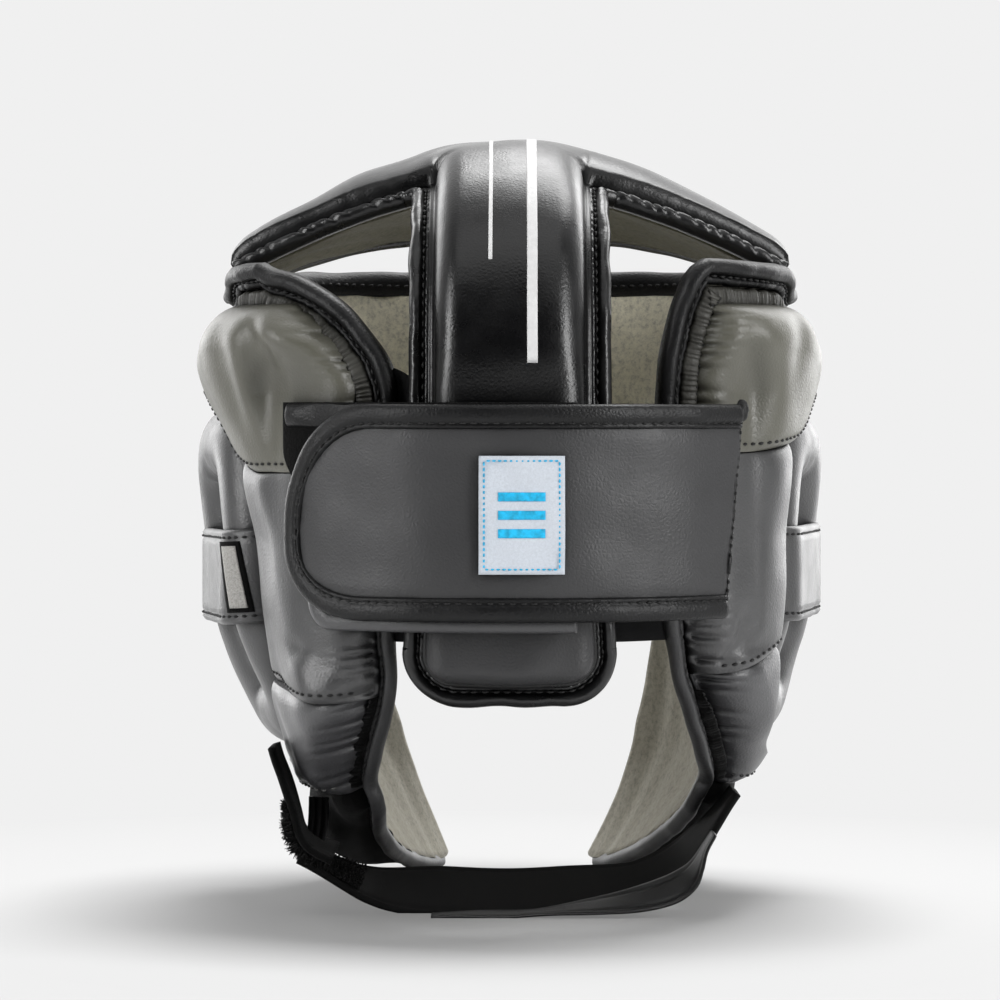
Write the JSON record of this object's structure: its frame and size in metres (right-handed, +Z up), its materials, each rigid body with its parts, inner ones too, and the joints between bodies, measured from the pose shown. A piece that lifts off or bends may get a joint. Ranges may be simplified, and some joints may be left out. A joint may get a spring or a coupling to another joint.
{
  "type": "kickboxing headgear",
  "caption": "Padded leather headgear for kickboxing, with a cross-shaped crown, ear guards, cheek pads, a hook-and-loop closure at the back and a chin strap.",
  "frame": {"origin": "on the floor, under the middle of the object's box", "axes": "+X to the wearer's right, +Y to the face, +Z up"},
  "size_m": [0.2466, 0.2727, 0.292],
  "materials": {
    "khaki_leather": "satin",
    "grey_leather": "satin",
    "black_leather": "satin",
    "binding_leather": "satin",
    "suede_lining": "matte",
    "black_webbing": "matte",
    "woven_label": "matte"
  },
  "bodies": {
    "root": {"side_upper_left": "khaki_leather", "side_upper_right": "khaki_leather", "occipital_pad": "grey_leather", "closure_strap": "grey_leather", "side_middle_left": "grey_leather", "side_middle_right": "grey_leather", "side_lower_left": "grey_leather", "side_lower_right": "grey_leather", "cheek_pad_left": "grey_leather", "cheek_pad_right": "grey_leather", "ear_guard_left": "grey_leather", "ear_guard_right": "grey_leather", "ear_strap_left": "grey_leather", "ear_strap_right": "grey_leather", "forehead_pad": "black_leather", "crown_panel": "black_leather", "forehead_binding": "binding_leather", "brow_binding": "binding_leather", "back_strap_binding": "binding_leather", "closure_binding": "binding_leather", "closure_base": "binding_leather", "arm_binding_left": "binding_leather", "arm_binding_right": "binding_leather", "front_vent_binding_left": "binding_leather", "front_vent_binding_right": "binding_leather", "back_binding_left": "binding_leather", "back_binding_right": "binding_leather", "jaw_binding_left": "binding_leather", "jaw_binding_right": "binding_leather", "face_binding_left": "binding_leather", "face_binding_right": "binding_leather", "forehead_lining": "suede_lining", "crown_lining": "suede_lining", "side_lining_left": "suede_lining", "side_lining_right": "suede_lining", "elastic_band": "black_webbing", "chin_strap": "black_webbing", "chin_tab": "black_webbing", "jaw_panel_left": "black_webbing", "jaw_panel_right": "black_webbing", "woven_label": "woven_label"}
  },
  "joints": []
}
